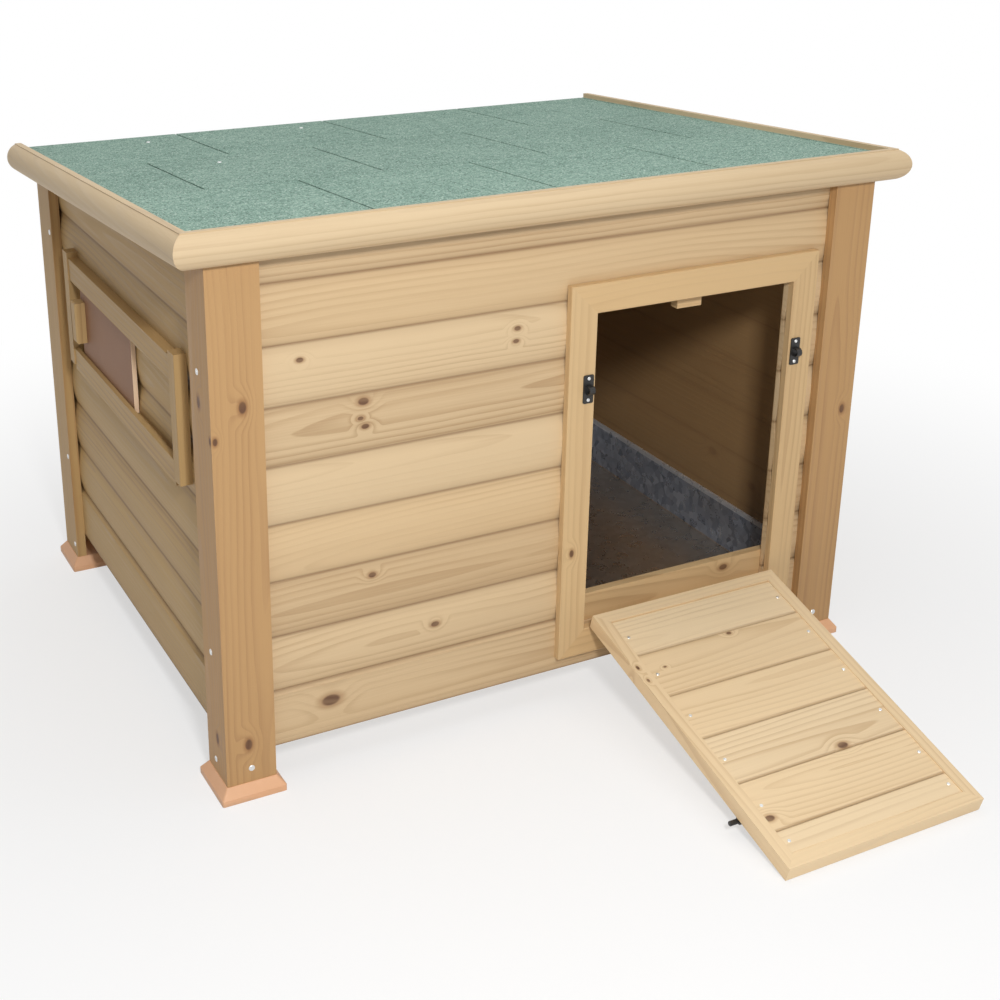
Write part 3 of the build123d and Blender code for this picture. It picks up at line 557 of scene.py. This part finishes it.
# Floor, light and camera. A pale floor that runs out into a white background, one lamp by the
# photographer's left shoulder, a wide soft one overhead and an even fill.
floor_mesh = bpy.data.meshes.new("floor")
floor_form = bmesh.new()
floor_radius, floor_sink = 14.0, 0.0004
bmesh.ops.create_circle(floor_form, cap_ends=True, segments=96, radius=floor_radius)
floor_form.to_mesh(floor_mesh)
floor_form.free()
floor_mesh.transform(Matrix.Translation((0.0, 0.0, -floor_sink)))
floor = bpy.data.objects.new("floor", floor_mesh)
bpy.context.scene.collection.objects.link(floor)
ground = Finish("floor_white", 0.9)
ground.shader.inputs["Base Color"].default_value = (0.90, 0.90, 0.90, 1.0)
ground.shader.inputs["Specular IOR Level"].default_value = 0.1
glow = ground.node("ShaderNodeEmission", {}, {"Color": (1.0, 1.0, 1.0, 1.0), "Strength": 1.0})
seen = ground.node("ShaderNodeLightPath", {}, {}, "Is Camera Ray")
shiny = ground.node("ShaderNodeLightPath", {}, {}, "Is Glossy Ray")
clear = ground.node("ShaderNodeLightPath", {}, {}, "Is Transmission Ray")
near_white, white_from, white_at = 0.58, 0.55, 1.7
reach = (ground.x * ground.x + ground.y * ground.y).root()
away = reach.over(white_from, white_at) * (1.0 - near_white) + near_white
mixed = ground.tree.nodes.new("ShaderNodeMixShader")
ground.tree.links.new(((seen + shiny + clear).least(1.0) * away).socket, mixed.inputs[0])
ground.tree.links.new(ground.shader.outputs[0], mixed.inputs[1])
ground.tree.links.new(glow.socket, mixed.inputs[2])
ground.tree.links.new(mixed.outputs[0], ground.tree.nodes["Material Output"].inputs["Surface"])
floor_mesh.materials.append(ground.material)


def softbox(name, place, aim, side, power):
    lamp = bpy.data.lights.new(name, "AREA")
    lamp.shape = "RECTANGLE"
    lamp.size = lamp.size_y = side
    lamp.energy = power
    made = bpy.data.objects.new(name, lamp)
    made.location = place
    made.rotation_euler = (Vector(aim) - Vector(place)).to_track_quat("-Z", "Y").to_euler()
    bpy.context.scene.collection.objects.link(made)


key_place, key_aim = (-0.74, front_face - 1.80, 1.66), (0.05, front_face, 0.35)
softbox("lamp_key", key_place, key_aim, 0.26, 33.0)
softbox("lamp_overhead", (0.0, 0.1, 3.2), (0.0, 0.1, 0.0), 3.2, 40.0)

# The room is dim for the light it gives, and white where it shows or is mirrored.
room_light, room_white = 0.27, 1.0
world = bpy.data.worlds.new("white_room")
bpy.context.scene.world = world
world.use_nodes = True
sky = world.node_tree
path = sky.nodes.new("ShaderNodeLightPath")
shows = path.outputs["Is Camera Ray"]
for ray in ("Is Glossy Ray", "Is Transmission Ray"):
    either = sky.nodes.new("ShaderNodeMath")
    either.operation = "MAXIMUM"
    sky.links.new(shows, either.inputs[0])
    sky.links.new(path.outputs[ray], either.inputs[1])
    shows = either.outputs[0]
level = sky.nodes.new("ShaderNodeMapRange")
level.inputs["To Min"].default_value = room_light
level.inputs["To Max"].default_value = room_white
sky.links.new(shows, level.inputs["Value"])
backdrop = sky.nodes["Background"]
sky.links.new(level.outputs[0], backdrop.inputs["Strength"])
backdrop.inputs["Color"].default_value = (1.0, 1.0, 1.0, 1.0)

lens = bpy.data.cameras.new("camera")
lens.sensor_width = 36.0
lens.lens = 56.23
lens.shift_x = 0.054
lens.shift_y = -0.12
lens.clip_end = 60.0
camera = bpy.data.objects.new("camera", lens)
turn, tilt, lean = 0.4820, 0.3585, 0.0093
stand = (-0.9851, front_face - 1.5505, 1.1596)
ahead = Vector((math.sin(turn) * math.cos(tilt), math.cos(turn) * math.cos(tilt),
                -math.sin(tilt)))
level_right = Vector((math.cos(turn), -math.sin(turn), 0.0))
level_up = level_right.cross(ahead)
right = level_right * math.cos(lean) + level_up * math.sin(lean)
up = level_up * math.cos(lean) - level_right * math.sin(lean)
stance = Matrix((right, up, -ahead)).transposed().to_4x4()
camera.matrix_world = Matrix.Translation(stand) @ stance
bpy.context.scene.collection.objects.link(camera)
bpy.context.scene.camera = camera
bpy.context.scene.view_settings.view_transform = "Standard"
